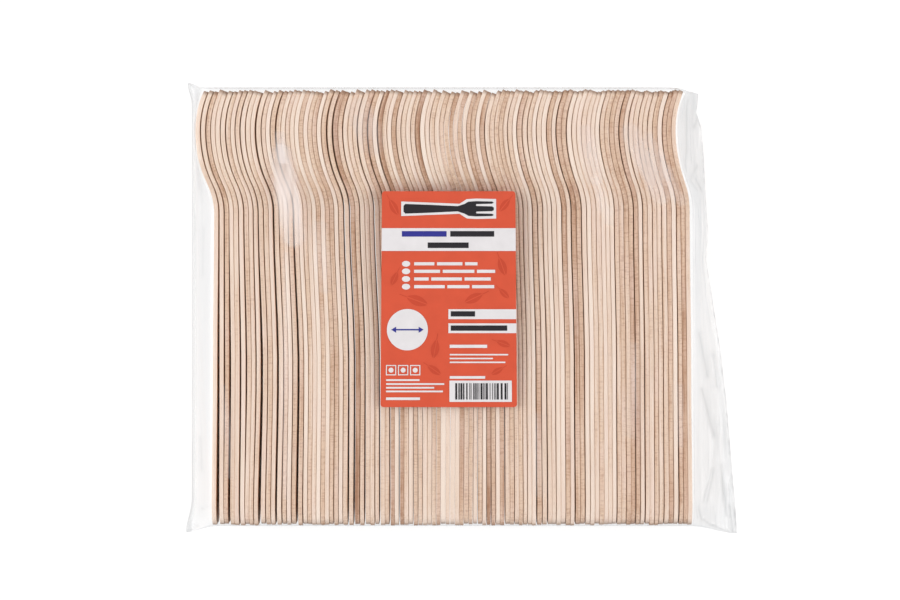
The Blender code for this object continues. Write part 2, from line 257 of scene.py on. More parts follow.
def centres_with_gaps(shares, thicknesses, room, splay, first_gaps=()):
    """Fork centres across the pack. The width that forks and first gaps leave is dealt out by the shares.

    room is the cosine of the slope at which the forks lie on each other.
    """
    width = (FORK_COUNT - 1) * FORK_PITCH + FORK_THICKNESS + 2 * splay
    slack = width - thicknesses.sum() / room - sum(first_gaps)
    shares = np.array(shares[len(first_gaps):])
    gaps = np.concatenate([first_gaps, slack * shares / shares.sum()])
    steps = (thicknesses[:-1] + thicknesses[1:]) / 2 / room + gaps
    return thicknesses[0] / 2 - HALF_STACK - splay + np.concatenate([[0.0], np.cumsum(steps)])


def stack_layout():
    """For each fork: its centre at the neck, half way down the handle and at the handle's end.

    The shifts of its two ends and its thickness come after them. The forks in the middle of the pack lie
    closest at their heads.
    """
    chance = random.Random(STACK_SEED)
    end_shares = [TIGHTEST_SHARE + chance.random() ** 3 for _ in range(FORK_COUNT - 1)]
    handle_shifts, tine_shifts = [], []
    for _ in range(0, FORK_COUNT, 2):
        handle_shifts += [HANDLE_LENGTH_SPREAD * (0.45 * chance.uniform(-1, 1) - 0.55) for _ in range(2)]
        tine_shifts += [TINE_LENGTH_SPREAD * chance.uniform(-1, 1)] * 2
        chance.random()  # the CAD draws a colour here
    looks = random.Random(LOOKS_SEED)
    tine_shifts = [shift / 2 + HIGHEST_TIP - TIP_SPREAD * looks.random() ** 1.5 for shift in tine_shifts]
    thicknesses = np.array([looks.uniform(THINNEST_FORK, THICKEST_FORK) for _ in range(FORK_COUNT)])
    numbers = range(FORK_COUNT - 1)
    loose = [1.0 + 0.3 * (1 - i / FORK_COUNT) ** 2 for i in numbers]
    upright = [math.exp(-(((i - FORK_COUNT / 2) / UPRIGHT_FORKS) ** 2)) for i in numbers]
    heads = [(1.0 + 1.4 * (1 - i / FORK_COUNT) ** 2) * (1 - 0.8 * upright[i]) for i in numbers]
    neck_shares = [0.03 + more * looks.random() ** 4 for more in heads]
    end_shares = [more * (0.10 + share + neck) for more, share, neck in zip(loose, end_shares, neck_shares)]
    both_shares = zip(end_shares, neck_shares)
    middle_shares = [(share + 2 * neck + looks.random() ** 5) / 3 for share, neck in both_shares]
    steepest = math.cos(max(NECK_ANGLE, TINE_ANGLE))
    neck = centres_with_gaps(neck_shares, thicknesses, steepest, 0.0, FIRST_NECK_GAPS)
    end = centres_with_gaps(end_shares, thicknesses, 1.0, HANDLE_SPLAY, FIRST_END_GAPS)
    middle = centres_with_gaps(middle_shares, thicknesses, 1.0, HANDLE_SPLAY / 2, FIRST_MIDDLE_GAPS)
    middle += STRAIGHTNESS * ((neck + end) / 2 - middle)
    return neck, middle, end, handle_shifts, tine_shifts, thicknesses


def centre_line(along, neck, middle, end):
    """X of a fork's centre line before the press curve, through its three set places."""
    half_way = BEND_START / 2
    lower = end + (middle - end) * smooth(along / half_way)
    upper = middle + (neck - middle) * smooth((along - half_way) / half_way)
    return np.where(along < half_way, lower, upper)


def place_in_pack(x, along, across):
    """World coordinates of points given across the pack, along the forks and above their axis."""
    y = along - FORK_LENGTH / 2
    cos, sin = math.cos(REST_TILT), math.sin(REST_TILT)
    return np.stack([x, y * cos - across * sin, y * sin + across * cos + STACK_HEIGHT], axis=1)


def make_fork(number, blank, flat, layout, looks, material):
    """One fork of the stack, bent and placed from the flat blank's points."""
    neck, middle, end, handle_shifts, tine_shifts, thickness = (values[number] for values in layout)
    along, through, across = flat.T
    through = through * thickness / FORK_THICKNESS
    across = across * looks.uniform(0.990, 1.0)
    handle_share = np.clip(1 - along / HANDLE_END_ROUNDING, 0, None)
    tine_share = np.clip(along - SLOT_ROOT, 0, None) / SLOT_LENGTH
    moved = along + handle_shifts * handle_share + tine_shifts * tine_share
    dip, angle = press_curve(moved)
    x = centre_line(along, neck, middle, end) - dip + through * np.cos(angle)
    points = place_in_pack(x, moved + through * np.sin(angle), across)

    mesh = blank.copy()
    mesh.name = f"fork_{number + 1:03d}"
    mesh.vertices.foreach_set("co", points.ravel())
    offset = np.array([looks.uniform(0, 5), looks.uniform(0, 5), looks.uniform(0, 5)])
    grain = mesh.attributes.new("blank", "FLOAT_VECTOR", "POINT")
    grain.data.foreach_set("vector", (flat + offset).ravel())
    from_face = FORK_THICKNESS / 2 - np.abs(flat[:, 1])
    from_end = np.minimum(along, FORK_LENGTH - along)
    # broad_face marks the faces that the material darkens with painted brownish shade, which shows in the
    # gaps
    add_values(mesh, "broad_face", np.clip(1 - from_face / EDGE_EASING, 0, 1))
    # Darker end grain and painted shade where the rounded ends curve down out of the light
    add_values(mesh, "end_grain_and_shade", 1 - smooth(from_end / END_GRAIN_AND_SHADE_DEPTH))
    add_values(mesh, "tone", np.full(len(flat), fork_tone(number, looks)))
    mesh.materials.append(material)
    mesh.update()
    fork = linked(mesh.name, mesh)
    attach(fork, "root")
    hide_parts(f"fork_pair_{number // 2 + 1:02d}")


def fork_tone(number, looks):
    """0 for the palest veneer and 1 for the darkest. Most forks are pale and a few are brown."""
    kind = looks.random()
    if number in DARK_FORKS or kind > 0.965:
        return looks.uniform(0.70, 0.90)
    if kind < 0.60 + 0.06 * number / FORK_COUNT or number in (0, FORK_COUNT - 1):
        return looks.uniform(0.06, 0.38)
    return looks.uniform(0.38, 0.70)


def make_forks(material):
    blank = blank_mesh()
    blank.shade_smooth()
    blank.set_sharp_from_angle(angle=math.radians(25))
    flat = np.empty(len(blank.vertices) * 3)
    blank.vertices.foreach_get("co", flat)
    flat = flat.reshape(-1, 3)
    layout = stack_layout()
    looks = random.Random(LOOKS_SEED)
    for number in range(FORK_COUNT):
        make_fork(number, blank, flat, layout, looks, material)
    bpy.data.meshes.remove(blank)


# Bag

SKIN_GAP = 0.00045
SAG_SHARE = 0.30
WELD_WIDTH = 0.0016
WELD_SLACK = 0.2
LEFT_SLACK = 0.30
FLAT_STRETCH = 1.008
HALF_FLAT_FILM = 0.00012
LOWEST_FILM = 0.00002
FLAP_FALL = 1.5
LEFT_PLAN_WIDTH = 0.008
FLAP_PLAN_WIDTH = 0.012
BROAD_RIDGE_CELL = (0.0046, 0.050)
BROAD_RIDGE_HEIGHT = 0.0009
BROAD_RIDGE_SEED = 1.5
FINE_RIDGE_CELL = (0.0022, 0.018)
FINE_RIDGE_HEIGHT = 0.0003
FINE_RIDGE_SEED = 7.5
STACK_RIDGE_HEIGHT = 0.00012

# The edge of the bag's mouth, as places along the pack and across it
MOUTH_EDGE = (
    (-0.0870, 0.1086), (-0.0730, 0.1082), (-0.0540, 0.1067), (-0.0350, 0.1051), (-0.0160, 0.1028),
    (0.0000, 0.1003), (0.0105, 0.0987), (0.0180, 0.0974), (0.0290, 0.0982), (0.0405, 0.0974),
    (0.0600, 0.0963), (0.0690, 0.0955), (0.0750, 0.0936), (0.0850, 0.0940),
)

# The welded edge at the left, and how many points and rows of points the film has
LEFT_EDGE = -0.0998
RUN_POINTS = 210
LEFT_STATIONS = 14
STACK_STATIONS = 110
FLAP_STATIONS = 44

# Sharp creases in the slack film, along which the material paints shade: two ends, height and half width
CREASES = (
    ((0.0893, 0.0804), (0.0890, 0.0600), 0.0006, 0.0005),
    ((0.0890, 0.0600), (0.0878, 0.0528), 0.0006, 0.0005),
    ((0.0935, 0.0539), (0.0901, 0.0482), 0.0006, 0.0006),
    ((0.0901, 0.0482), (0.0927, 0.0452), 0.0005, 0.0005),
    ((0.0927, 0.0490), (0.0954, 0.0448), 0.0006, 0.0005),
    ((0.0950, 0.0740), (0.0925, 0.0690), 0.0006, 0.0006),
    ((0.0950, -0.0312), (0.1001, -0.0490), 0.0008, 0.0008),
    ((0.0993, -0.0614), (0.0957, -0.0738), 0.0006, 0.0003),
    ((0.0999, -0.0614), (0.0972, -0.0738), 0.0006, 0.0003),
    ((0.1030, -0.0600), (0.1048, -0.0780), 0.0005, 0.0007),
    ((0.0923, -0.0740), (0.0935, -0.0800), 0.0010, 0.0004),
    ((0.0935, -0.0760), (0.0952, -0.0810), 0.0010, 0.0004),
    ((0.0959, -0.0808), (0.0982, -0.0823), 0.0010, 0.0004),
    ((0.0982, -0.0823), (0.1060, -0.0844), 0.0010, 0.0005),
    ((0.1062, -0.0750), (0.1070, -0.0840), 0.0006, 0.0006),
    ((0.0940, -0.0100), (0.0972, -0.0260), 0.0005, 0.0010),
    ((0.1000, -0.0180), (0.1012, -0.0300), 0.0005, 0.0008),
    ((-0.0953, -0.0768), (-0.0920, -0.0755), 0.0005, 0.0003),
    ((-0.0997, -0.0808), (-0.0960, -0.0826), 0.0006, 0.0005),
    ((-0.1003, -0.0846), (-0.0960, -0.0826), 0.0006, 0.0005),
    ((-0.0985, -0.0805), (-0.0980, -0.0835), 0.0005, 0.0005),
    ((-0.0960, -0.0500), (-0.0955, -0.0620), 0.0003, 0.0007),
    ((-0.0945, 0.0300), (-0.0950, 0.0120), 0.0003, 0.0007),
    ((-0.0965, 0.0820), (-0.0940, 0.0700), 0.0005, 0.0006),
    ((-0.0996, 0.0845), (-0.0960, 0.0815), 0.0005, 0.0004),
    ((-0.0994, 0.0830), (-0.0990, 0.0760), 0.0004, 0.0004),
)

# Painted reflections of the softboxes, as milky patches where the film over the forks is rumpled: two ends,
# strength and half width
PAINTED_REFLECTIONS = (
    ((-0.0648, 0.0640), (-0.0638, 0.0560), 0.55, 0.0022),
    ((-0.0642, 0.0570), (-0.0600, 0.0270), 0.62, 0.0044),
    ((-0.0625, 0.0200), (-0.0630, -0.0720), 0.30, 0.0012),
    ((0.0500, 0.0660), (0.0540, 0.0490), 0.34, 0.0030),
    ((0.0545, 0.0480), (0.0590, 0.0330), 0.30, 0.0020),
    ((0.0670, 0.0660), (0.0790, 0.0420), 0.40, 0.0034),
    ((0.0740, 0.0640), (0.0860, 0.0400), 0.34, 0.0020),
    ((0.0860, -0.0300), (0.0865, -0.0520), 0.30, 0.0012),
    ((-0.0500, 0.0300), (-0.0480, 0.0080), 0.24, 0.0030),
    ((-0.0350, 0.0740), (-0.0300, 0.0620), 0.22, 0.0050),
    ((-0.0860, -0.0300), (-0.0855, -0.0640), 0.22, 0.0010),
    ((0.0320, -0.0420), (0.0330, -0.0700), 0.20, 0.0022),
    ((0.0690, -0.0150), (0.0680, -0.0480), 0.22, 0.0018),
)

# Long soft folds in the film over the forks: two ends, height and half width
FOLDS = (
    ((-0.074, 0.080), (-0.057, 0.022), 0.0007, 0.0035),
    ((-0.060, 0.030), (-0.063, -0.082), 0.0005, 0.0022),
    ((-0.086, 0.060), (-0.070, 0.015), 0.0004, 0.0020),
    ((0.050, 0.078), (0.038, 0.030), 0.0006, 0.0040),
    ((0.073, 0.076), (0.058, 0.020), 0.0006, 0.0032),
    ((0.080, 0.010), (0.083, -0.080), 0.0004, 0.0018),
    ((-0.030, 0.080), (-0.020, 0.045), 0.0005, 0.0030),
    ((0.012, 0.080), (0.022, 0.048), 0.0004, 0.0028),
    ((-0.040, -0.045), (-0.020, -0.080), 0.0004, 0.0026),
    ((0.040, -0.040), (0.052, -0.080), 0.0004, 0.0026),
)


def side_view_loop():
    """The film's loop seen from the side: distances along the forks and heights over their axis."""
    low_end = -HANDLE_LENGTH_SPREAD
    high_end = FORK_LENGTH + TINE_LENGTH_SPREAD + FORK_THICKNESS / 2 * math.sin(TINE_ANGLE)
    run = np.linspace(low_end, high_end, RUN_POINTS)
    half = np.array([spanned_half_width(min(FORK_LENGTH, along)) for along in run])
    tips = np.linspace(-half[-1], half[-1], 20)[1:-1]
    ends = np.linspace(half[0], -half[0], 8)[1:-1]
    along = np.concatenate([run, np.full(len(tips), high_end), run[::-1], np.full(len(ends), low_end)])
    height = np.concatenate([-half, tips, half[::-1], ends])
    for _ in range(2):
        along = (np.roll(along, 1) + 2 * along + np.roll(along, -1)) / 4
        height = (np.roll(height, 1) + 2 * height + np.roll(height, -1)) / 4
    out_along = np.roll(height, -1) - np.roll(height, 1)
    out_height = np.roll(along, 1) - np.roll(along, -1)
    length = np.hypot(out_along, out_height)
    return along + out_along / length * SKIN_GAP, height + out_height / length * SKIN_GAP


def ridges(plan, cell, seed):
    """Height of soft ridges in slack film, 0 to 1. cell is their spacing across and along the pack."""
    heights = [1 - 2 * abs(noise.noise((x / cell[0], y / cell[1], seed))) for x, y in plan]
    return np.clip(heights, 0, 1)


def near_line(x, y, ends):
    """Distances from a line between two points, and how far along it each place lies, 0 to 1."""
    (x0, y0), (x1, y1) = ends
    dx, dy = x1 - x0, y1 - y0
    share = np.clip(((x - x0) * dx + (y - y0) * dy) / (dx * dx + dy * dy), 0, 1)
    return np.hypot(x - x0 - share * dx, y - y0 - share * dy), share


def creases(x, y):
    """Height of the sharp creases, and the strength of the painted shade along them from 0 to 1."""
    height, mark = np.zeros(len(x)), np.zeros(len(x))
    for start, end, tall, width in CREASES:
        distance, _ = near_line(x, y, (start, end))
        shape = np.exp(-distance / width)
        height += tall * shape
        mark = np.maximum(mark, shape)
    return height, mark


def painted_reflections(x, y):
    """Strength of the painted reflections, milky patches of the softboxes' light, 0 to 1."""
    total = np.zeros(len(x))
    for start, end, strength, width in PAINTED_REFLECTIONS:
        distance, share = near_line(x, y, (start, end))
        total += strength * smooth(2.4 * (1.15 - distance / width)) * (0.55 + 0.45 * np.sin(math.pi * share))
    return np.clip(total, 0, 0.7)


def folds(x, y):
    """Height of the long soft folds over the forks."""
    total = np.zeros(len(x))
    for start, end, height, width in FOLDS:
        distance, share = near_line(x, y, (start, end))
        rise = np.sin(math.pi * np.clip(share, 0.02, 0.98)) ** 0.5
        total += height * rise * np.exp(-((distance / width) ** 2))
    return total


def rim_shade(row_count, y):
    """Strength of the painted shade along the film's left fold and along the crinkled edge of its mouth."""
    rows = np.repeat(np.arange(row_count), len(y) // row_count)
    fold = 0.55 * np.clip(1 - rows / 2, 0, 1)
    crinkle = [0.35 + 0.9 * noise.noise((place * 420, 3.1, 0.7)) for place in y]
    mouth = np.clip(1 - (row_count - 1 - rows) / 3, 0, 1) * np.clip(crinkle, 0, 1)
    return fold + mouth


def waist_sag(along):
    """How far the upper film hangs down over the waist of the forks."""
    stations = np.linspace(0, FORK_LENGTH, 67)
    room = np.array([spanned_half_width(station) - half_width(station) for station in stations])
    for _ in range(6):
        room[1:-1] = (room[:-2] + 2 * room[1:-1] + room[2:]) / 4
    return SAG_SHARE * np.interp(along, stations, room)


def left_rows(full, flat_y, flat_z, reach, dip):
    """Rows from the weld at the left to the stack, each with its slack and its X in the even plan."""
    seam_x = np.full(len(dip), LEFT_EDGE)
    yield np.stack([seam_x, flat_y, flat_z], axis=1), WELD_SLACK, -LEFT_PLAN_WIDTH - reach[0]
    for step in range(LEFT_STATIONS):
        share = step / (LEFT_STATIONS - 1)
        fall = smooth(share) * 0.5 + share * 0.5
        x = seam_x + WELD_WIDTH + (-reach - dip - seam_x - WELD_WIDTH) * share
        y = flat_y + (full[:, 1] - flat_y) * share
        z = flat_z + (full[:, 2] - flat_z) * fall
        plan_x = LEFT_PLAN_WIDTH * (share - 1) - reach[0]
        yield np.stack([x, y, z], axis=1), LEFT_SLACK * (1 - share), plan_x


def stack_rows(full, reach, dip):
    """Rows over the stack, where the film is tight."""
    for step in range(1, STACK_STATIONS):
        share = step / STACK_STATIONS
        x = -reach - dip + 2 * reach * share
        yield np.stack([x, full[:, 1], full[:, 2]], axis=1), 0.0, x + dip


def flap_rows(full, flat_y, flat_z, reach, dip):
    """Rows from the stack to the bag's mouth at the right."""
    mouth_y, mouth_x = zip(*MOUTH_EDGE)
    mouth = np.interp(flat_y, mouth_y, mouth_x)
    start_x = reach - dip
    for step in range(FLAP_STATIONS + 1):
        share = step / FLAP_STATIONS
        fall = 1 - (1 - share) ** FLAP_FALL
        x = start_x + (mouth - start_x) * share
        y = full[:, 1] + (flat_y - full[:, 1]) * smooth(share * 1.5)
        z = full[:, 2] + (flat_z - full[:, 2]) * fall
        plan_x = reach[0] + FLAP_PLAN_WIDTH * share
        yield np.stack([x, y, z], axis=1), min(1.0, share * 2.2), plan_x


def film_grid():
    """The film as rows of points, one row for each loop round the pack.

    With them come how slack the film is there, each point's X in an even plan without press curve or slanted
    mouth, its place along the forks, and whether it is on the upper side.
    """
    along, height = side_view_loop()
    dip = press_curve(np.clip(along, 0, FORK_LENGTH))[0]
    splay = HANDLE_SPLAY * np.clip(1 - along / BEND_START, 0, None)
    reach = HALF_STACK + splay + SKIN_GAP
    full = place_in_pack(np.zeros(len(along)), along, height)
    flat_y = (along - FORK_LENGTH / 2) * FLAT_STRETCH
    flat_z = SEAM_HEIGHT + HALF_FLAT_FILM * np.clip(height / 0.004, -1, 1)
    parts = [
        *left_rows(full, flat_y, flat_z, reach, dip),
        *stack_rows(full, reach, dip),
        *flap_rows(full, flat_y, flat_z, reach, dip),
    ]
    rows = np.array([points for points, _, _ in parts])
    slack = np.array([np.full(len(along), value) for _, value, _ in parts])
    plan_x = np.array([np.broadcast_to(x, len(along)) for _, _, x in parts])
    return rows, slack, plan_x, along, height > 0


def drawn_corners(points):
    """Pulls the film's four corners out into small ears."""
    x, y = points[:, 0], points[:, 1]
    for corner_x, corner_y, pull_x, pull_y, size in (
        (LEFT_EDGE, 0.083, -0.0016, 0.0022, 0.0028),
        (LEFT_EDGE, -0.083, -0.0022, -0.0020, 0.0050),
        (0.1086, -0.083, 0.0006, -0.0022, 0.0090),
        (0.0940, 0.083, 0.0004, -0.0026, 0.0060),
    ):
        near = np.exp(-(((x - corner_x) ** 2 + (y - corner_y) ** 2) / size**2))
        points[:, 0] += pull_x * near
        points[:, 1] += pull_y * near


def film_faces(row_count, loop_count):
    """Four-sided faces between each row and the next."""
    faces = []
    for row in range(row_count - 1):
        first, second = row * loop_count, (row + 1) * loop_count
        for j in range(loop_count):
            k = (j + 1) % loop_count
            faces.append((first + j, second + j, second + k, first + k))
    return faces


def make_film(material):
    """The bag as one skin, with the values by which its material greys slack film, paints shade along
    creases and rims, and paints reflections as milky patches.
    """
    rows, slack, plan_x, along, upper = film_grid()
    row_count, loop_count = slack.shape
    points, slack = rows.reshape(-1, 3), slack.ravel()
    along, upper = np.tile(along, row_count), np.tile(upper, row_count)
    x, y = points[:, 0].copy(), points[:, 1].copy()
    drawn_corners(points)

    plan = np.stack([plan_x.ravel(), y], axis=1)
    broad = ridges(plan, BROAD_RIDGE_CELL, BROAD_RIDGE_SEED)
    fine = ridges(plan + 0.08 * plan[:, ::-1], FINE_RIDGE_CELL, FINE_RIDGE_SEED)
    crease_height, crease_shade_mark = creases(x, y)
    over_stack = 1 - np.clip(slack * 4, 0, 1)
    free = 1 - 0.9 * label_mask(x, y)
    lift = slack * (BROAD_RIDGE_HEIGHT * broad + FINE_RIDGE_HEIGHT * fine)
    lift += np.clip(slack * 3, 0, 1) * crease_height
    lift += over_stack * (free * (STACK_RIDGE_HEIGHT * broad + folds(x, y)) - waist_sag(along))
    points[:, 2] += np.where(upper, lift, 0.3 * lift * slack)
    points[:, 2] = np.maximum(points[:, 2], LOWEST_FILM)

    mesh = bpy.data.meshes.new("bag_film_skin")
    mesh.from_pydata(points.tolist(), [], film_faces(row_count, loop_count))
    top_right = smooth((x - 0.086) / 0.004) * smooth((y - 0.030) / 0.020)
    low_right = smooth((x - 0.088) / 0.004) * smooth((-0.015 - y) / 0.035)
    grey = np.where((slack > 0) & (x > 0), 0.45 + 0.55 * slack, slack)
    # The last two values carry painted shade along creases and rims, and painted reflections of the
    # softboxes over the forks
    looks = {
        "slack": np.clip(grey * (0.45 + 0.55 * top_right + 0.45 * low_right), 0, 1),
        "crease_shade": np.where(upper, np.clip(slack * 3, 0, 1) * crease_shade_mark, 0) + rim_shade(row_count, y),
        "painted_reflection": np.where(upper, painted_reflections(x, y) * over_stack * free, 0),
    }
    for name, values in looks.items():
        add_values(mesh, name, values)
    mesh.shade_smooth()
    mesh.materials.append(material)
    film = linked("bag_film_skin", mesh)
    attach(film, "root")
    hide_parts("bag_film")
    return film


# Label

LABEL_TAPER = 0.028
LABEL_STEP = 0.003
LABEL_LIFT = 0.00010
PRINT_LIFT = 0.00005
PRINT_CELL = 4.0
CODE_SEED = 12
HEIGHTS_HALF_WIDTH = 0.033
HEIGHTS_BOTTOM = -0.045
HEIGHTS_TOP = 0.051

# Printed fields, in millimetres from the label's top left corner: left, top, right, bottom
WHITE_FIELDS = (
    (0.0, 13.9, 51.8, 22.5),
    (25.8, 44.55, 51.8, 48.3), (25.8, 49.9, 51.8, 53.6),
    (26.2, 71.6, 49.9, 79.7),
)
WHITE_BARS = (
    (12.6, 26.75, 20.4, 27.95), (21.4, 26.75, 31.2, 27.95), (32.2, 26.75, 37.0, 27.95),
    (12.6, 29.6, 22.6, 30.8), (23.6, 29.6, 35.8, 30.8), (36.8, 29.6, 43.8, 30.8),
    (12.6, 32.5, 18.2, 33.7), (19.2, 32.5, 31.0, 33.7), (32.0, 32.5, 42.1, 33.7),
    (12.6, 35.4, 24.4, 36.6), (25.4, 35.4, 33.9, 36.6), (34.9, 35.4, 43.4, 36.6),
    (26.3, 58.0, 40.6, 59.2),
    (26.3, 61.5, 48.6, 62.05), (26.3, 62.95, 42.8, 63.5), (26.3, 64.4, 47.5, 64.95),
    (26.3, 69.9, 39.8, 70.9),
    (2.1, 71.1, 14.8, 71.75), (2.1, 72.6, 24.2, 73.25), (2.1, 74.0, 20.4, 74.65), (2.1, 75.4, 23.7, 76.05),
    (2.1, 78.0, 15.0, 79.0),
)
BLACK_BARS = (
    (26.5, 15.0, 43.5, 17.1), (17.8, 19.3, 33.6, 21.4),
    (26.7, 45.3, 36.0, 47.3), (26.7, 50.7, 48.3, 52.7),
)
BLUE_BARS = ((7.8, 15.0, 25.1, 17.1),)
OVALS = ((9.5, 27.35), (9.5, 30.2), (9.5, 33.1), (9.5, 36.0))
OVAL_HALF = (1.6, 1.1)
DISC = (10.1, 52.3, 7.85)
BADGES = (2.0, 6.6, 11.2)
BADGE_TOP = 65.7
BADGE_SIDE = 3.9
BADGE_LINE = 0.35
BADGE_DOT = 0.95
FORK_SIGN = (25.9, 6.6, 35.0)
FORK_SIGN_RIM = 0.9
ARROW_LENGTH = 12.4
ARROW_HEAD = (1.9, 1.15)
ARROW_HALF_LINE = 0.28
CODE_BOX = (28.4, 72.6, 48.6, 78.8)

# Leaves in the ground of the label: centre, length in millimetres and turn in degrees
LEAVES = (
    (4.6, 6.0, 6.5, 60), (47.6, 5.2, 6.0, 130), (46.6, 28.4, 7.0, 70), (5.0, 33.0, 5.5, 115),
    (13.8, 41.3, 8.5, 20), (35.5, 40.4, 7.5, 155), (47.2, 38.6, 5.0, 45), (20.7, 59.6, 7.0, 100),
    (46.8, 57.6, 5.5, 20), (20.4, 67.6, 6.0, 35), (44.4, 68.0, 5.0, 150),
)


def label_mask(x, y):
    """1 on the label and 0 well outside it, for arrays of places."""
    centre_y = LABEL_FROM_HANDLE_END - FORK_LENGTH / 2
    outside_x = np.abs(x - LABEL_X) - LABEL_WIDTH / 2
    outside_y = np.abs(y - centre_y) - LABEL_LENGTH / 2
    return 1 - smooth(np.maximum(outside_x, outside_y) / 0.004 + 0.25)


def label_place(u, v):
    """X and Y of a point given in millimetres from the label's top left corner."""
    narrowing = 1 - LABEL_TAPER * (1 - v / (LABEL_LENGTH * 1000))
    x = LABEL_X + (u / 1000 - LABEL_WIDTH / 2) * narrowing
    return x, LABEL_FROM_HANDLE_END - FORK_LENGTH / 2 + LABEL_LENGTH / 2 - v / 1000


class FilmHeights:
    """Height of the paper on the film, as paper evens it out: a blurred grid of the film's heights."""

    def __init__(self, film):
        tree = BVHTree.FromObject(film, bpy.context.evaluated_depsgraph_get())
        past_end = 0.0001
        left, right = LABEL_X - HEIGHTS_HALF_WIDTH, LABEL_X + HEIGHTS_HALF_WIDTH
        self.x = np.arange(left, right + past_end, LABEL_STEP)
        self.y = np.arange(HEIGHTS_BOTTOM, HEIGHTS_TOP + past_end, LABEL_STEP)
        self.z = np.array([[tree.ray_cast((x, y, 0.2), (0, 0, -1))[0].z for x in self.x] for y in self.y])
        for _ in range(2):
            edged = np.pad(self.z, 1, mode="edge")
            beside = edged[:-2, 1:-1] + edged[2:, 1:-1] + edged[1:-1, :-2] + edged[1:-1, 2:]
            self.z = (beside + 2 * self.z) / 6

    def at(self, x, y):
        """The height at one place, worked out from the four grid points round it."""
        column = min(max((x - self.x[0]) / LABEL_STEP, 0), len(self.x) - 1.001)
        row = min(max((y - self.y[0]) / LABEL_STEP, 0), len(self.y) - 1.001)
        i, j = int(row), int(column)
        across, along = column - j, row - i
        low = self.z[i, j] * (1 - across) + self.z[i, j + 1] * across
        high = self.z[i + 1, j] * (1 - across) + self.z[i + 1, j + 1] * across
        return low * (1 - along) + high * along


def box_outline(box, radius=0.0):
    """A rectangle as points, with rounded corners where a radius is given."""
    left, top, right, bottom = box
    if radius == 0:
        return [(left, top), (right, top), (right, bottom), (left, bottom)]
    points = []
    for x, y, start in ((right, bottom, 0), (left, bottom, 90), (left, top, 180), (right, top, 270)):
        centre_x = x - radius if x == right else x + radius
        centre_y = y - radius if y == bottom else y + radius
        for step in range(5):
            angle = math.radians(start + 22.5 * step)
            points.append((centre_x + radius * math.cos(angle), centre_y + radius * math.sin(angle)))
    return points


def oval_outline(u, v, half_u, half_v, steps=28):
    """An upright oval round a centre, as points."""
    turns = [2 * math.pi * i / steps for i in range(steps)]
    return [(u + half_u * math.cos(t), v + half_v * math.sin(t)) for t in turns]


def frame_outlines(left, top, side, line):
    """Four strips that draw the outline of a square badge."""
    right, bottom = left + side, top + side
    boxes = (
        (left, top, right, top + line), (left, bottom - line, right, bottom),
        (left, top + line, left + line, bottom - line), (right - line, top + line, right, bottom - line),
    )
    return [box_outline(box) for box in boxes]


def fork_sign(centre_u, centre_v, length, grow):
    """A plain drawing of a fork lying across the label. With a grow, its outer form widened all round."""
    half = [
        (-0.50, 0.030), (-0.48, 0.052), (-0.20, 0.042), (0.10, 0.028), (0.17, 0.050), (0.22, 0.076),
        (0.30, 0.082), (0.48, 0.078), (0.50, 0.066), (0.48, 0.054), (0.31, 0.050), (0.30, 0.040),
        (0.31, 0.030), (0.48, 0.026), (0.50, 0.014),
    ]
    if grow:
        half = [(-0.50, 0.052), (0.12, 0.028), (0.20, 0.078), (0.30, 0.084), (0.50, 0.080)]
    points = [(s * length, w * length + grow) for s, w in half]
    if grow:
        points = [(points[0][0] - grow, points[0][1]), *points, (points[-1][0] + grow, points[-1][1])]
    points += [(s, -w) for s, w in reversed(points)]
    return [(centre_u + s, centre_v + w) for s, w in points]


def leaf_outlines(u, v, length, turn):
    """A leaf in two halves with a bare vein between them, and its stalk."""
    angle = math.radians(turn)
    cos, sin = math.cos(angle), math.sin(angle)
    halves = []
    for side in (-1, 1):
        edge = [(length * (i / 10 - 0.5), side * length * (0.025 + 0.20 * math.sin(math.pi * i / 10) ** 0.8))
                for i in range(11)]
        vein = [(length * (0.5 - i / 5), side * length * 0.025) for i in range(1, 5)]
        halves.append(edge + vein)
    halves.append([(-0.85 * length, -0.02 * length), (-0.5 * length, -0.02 * length),
                   (-0.5 * length, 0.02 * length), (-0.85 * length, 0.02 * length)])
    return [[(u + s * cos - w * sin, v + s * sin + w * cos) for s, w in half] for half in halves]


def arrow_outlines(u, v, length):
    """A line with a head at both ends, as on a length mark."""
    half = length / 2
    head, half_head = ARROW_HEAD
    line = box_outline((u - half + head, v - ARROW_HALF_LINE, u + half - head, v + ARROW_HALF_LINE))
    heads = []
    for side in (-1, 1):
        back = u + side * (half - head)
        heads.append([(u + side * half, v), (back, v - half_head), (back, v + half_head)])
    return [line, *heads]


def code_outlines():
    """Upright bars of random widths, in place of a bar code."""
    chance = random.Random(CODE_SEED)
    left, top, right, bottom = CODE_BOX
    bars, u = [], left
    while True:
        width = chance.choice((0.26, 0.26, 0.5, 0.75))
        if u + width > right:
            return bars
        bars.append(box_outline((u, top, u + width, bottom)))
        u += width + chance.choice((0.26, 0.26, 0.45, 0.7))


def make_print(name, outlines, level, heights, material):
    """Flat shapes laid on the film. level says which layer, 0 for the paper and more for the inks on it."""
    shape = bmesh.new()
    for outline in outlines:
        shape.faces.new([shape.verts.new((u, v, 0)) for u, v in outline])
    for axis, end in (((1, 0, 0), LABEL_WIDTH), ((0, 1, 0), LABEL_LENGTH)):
        for cut in np.arange(PRINT_CELL, end * 1000, PRINT_CELL):
            cut_across(shape, [cut * part for part in axis], axis, 1e-5)
    triangulate_large_faces(shape)
    for face in shape.faces:
        if face.normal.z > 0:
            face.normal_flip()
    for vert in shape.verts:
        x, y = label_place(vert.co.x, vert.co.y)
        vert.co = (x, y, heights.at(x, y) + LABEL_LIFT + level * PRINT_LIFT)
    mesh = bpy.data.meshes.new(name)
    shape.to_mesh(mesh)
    shape.free()
    mesh.shade_smooth()
    mesh.materials.append(material)
    ink = linked(name, mesh)
    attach(ink, "root")
    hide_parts("label")


